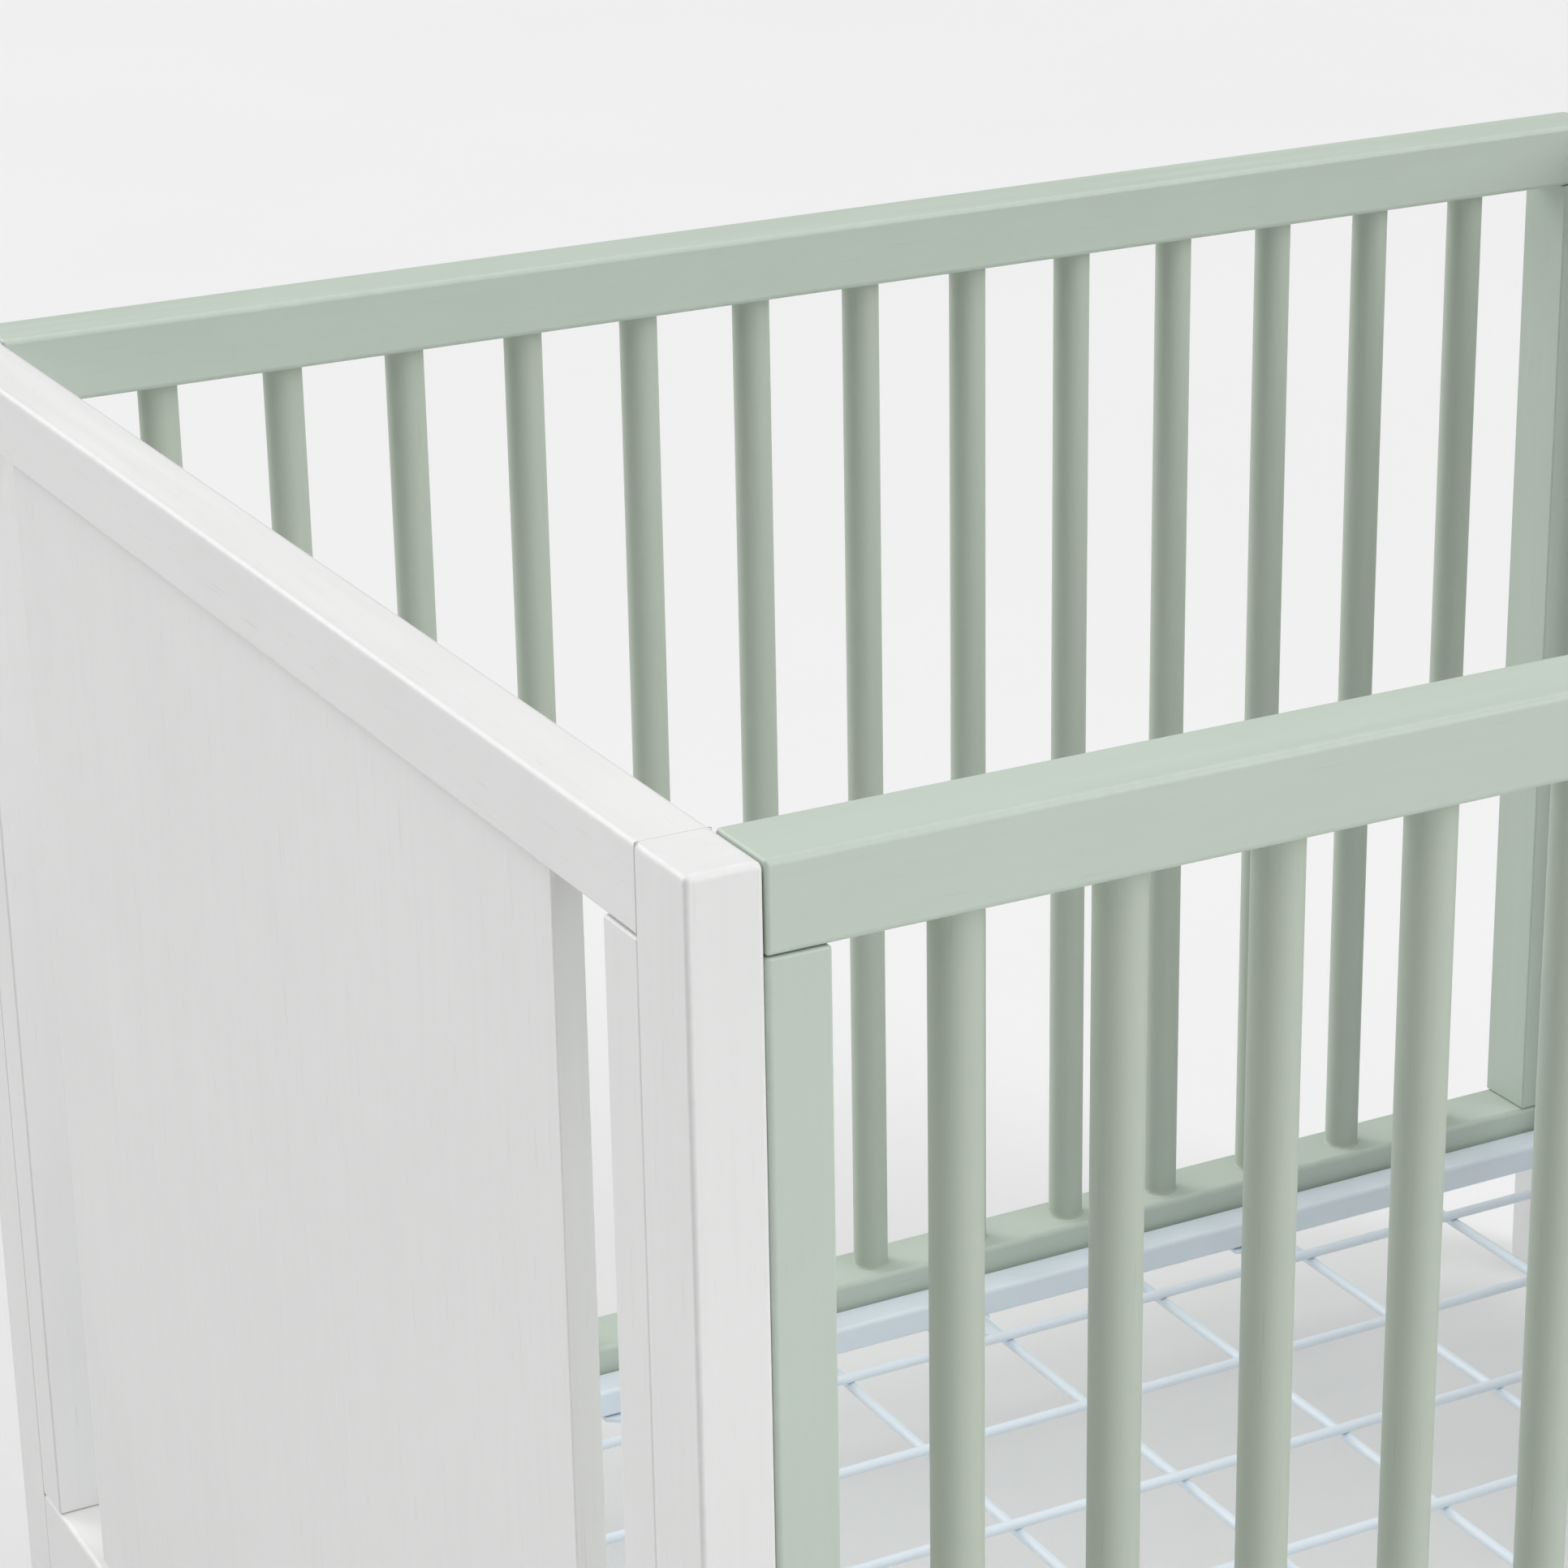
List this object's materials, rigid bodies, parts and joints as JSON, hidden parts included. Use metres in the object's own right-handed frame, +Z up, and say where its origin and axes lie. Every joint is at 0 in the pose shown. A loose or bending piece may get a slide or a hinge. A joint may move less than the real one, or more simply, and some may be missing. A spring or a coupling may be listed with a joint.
{
  "type": "playpen",
  "caption": "Free-standing rectangular playpen with panelled ends, round spindle sides and a height-adjustable wire-mesh base.",
  "frame": {"origin": "centre of the footprint, on the floor", "axes": "+X along the spindle sides from the head end to the foot end, +Y from the front side to the back side, +Z up"},
  "size_m": [1.23, 1, 0.9],
  "materials": {
    "white_lacquer": "satin lacquer",
    "sage_lacquer": "satin lacquer",
    "pale_powder_coat": "satin powder coat",
    "zinc_plated_steel": "zinc plated"
  },
  "bodies": {
    "frame": {"back_bottom_rail": "sage_lacquer", "back_spindle_01": "sage_lacquer", "back_spindle_02": "sage_lacquer", "back_spindle_03": "sage_lacquer", "back_spindle_04": "sage_lacquer", "back_spindle_05": "sage_lacquer", "back_spindle_06": "sage_lacquer", "back_spindle_07": "sage_lacquer", "back_spindle_08": "sage_lacquer", "back_spindle_09": "sage_lacquer", "back_spindle_10": "sage_lacquer", "back_spindle_11": "sage_lacquer", "back_spindle_12": "sage_lacquer", "back_spindle_13": "sage_lacquer", "back_stile_foot": "sage_lacquer", "back_stile_head": "sage_lacquer", "back_top_rail": "sage_lacquer", "base_ledge_foot": "zinc_plated_steel", "base_ledge_head": "zinc_plated_steel", "foot_bottom_rail": "white_lacquer", "foot_panel": "white_lacquer", "foot_post_back": "white_lacquer", "foot_post_front": "white_lacquer", "foot_stile_back": "white_lacquer", "foot_stile_front": "white_lacquer", "foot_top_rail": "white_lacquer", "front_bottom_rail": "sage_lacquer", "front_spindle_01": "sage_lacquer", "front_spindle_02": "sage_lacquer", "front_spindle_03": "sage_lacquer", "front_spindle_04": "sage_lacquer", "front_spindle_05": "sage_lacquer", "front_spindle_06": "sage_lacquer", "front_spindle_07": "sage_lacquer", "front_spindle_08": "sage_lacquer", "front_spindle_09": "sage_lacquer", "front_spindle_10": "sage_lacquer", "front_spindle_11": "sage_lacquer", "front_spindle_12": "sage_lacquer", "front_spindle_13": "sage_lacquer", "front_stile_foot": "sage_lacquer", "front_stile_head": "sage_lacquer", "front_top_rail": "sage_lacquer", "head_bottom_rail": "white_lacquer", "head_panel": "white_lacquer", "head_post_back": "white_lacquer", "head_post_front": "white_lacquer", "head_stile_back": "white_lacquer", "head_stile_front": "white_lacquer", "head_top_rail": "white_lacquer", "ledge_screw_foot_back": "zinc_plated_steel", "ledge_screw_foot_front": "zinc_plated_steel", "ledge_screw_head_back": "zinc_plated_steel", "ledge_screw_head_front": "zinc_plated_steel"},
    "base": {"base_tube_back": "pale_powder_coat", "base_tube_foot": "pale_powder_coat", "base_tube_front": "pale_powder_coat", "base_tube_head": "pale_powder_coat", "base_wire_mesh": "pale_powder_coat"}
  },
  "joints": [
    {"name": "base_height", "type": "slide", "parent": "frame", "child": "base", "axis": [0, 0, 1], "range_m": [0, 0.3]}
  ]
}
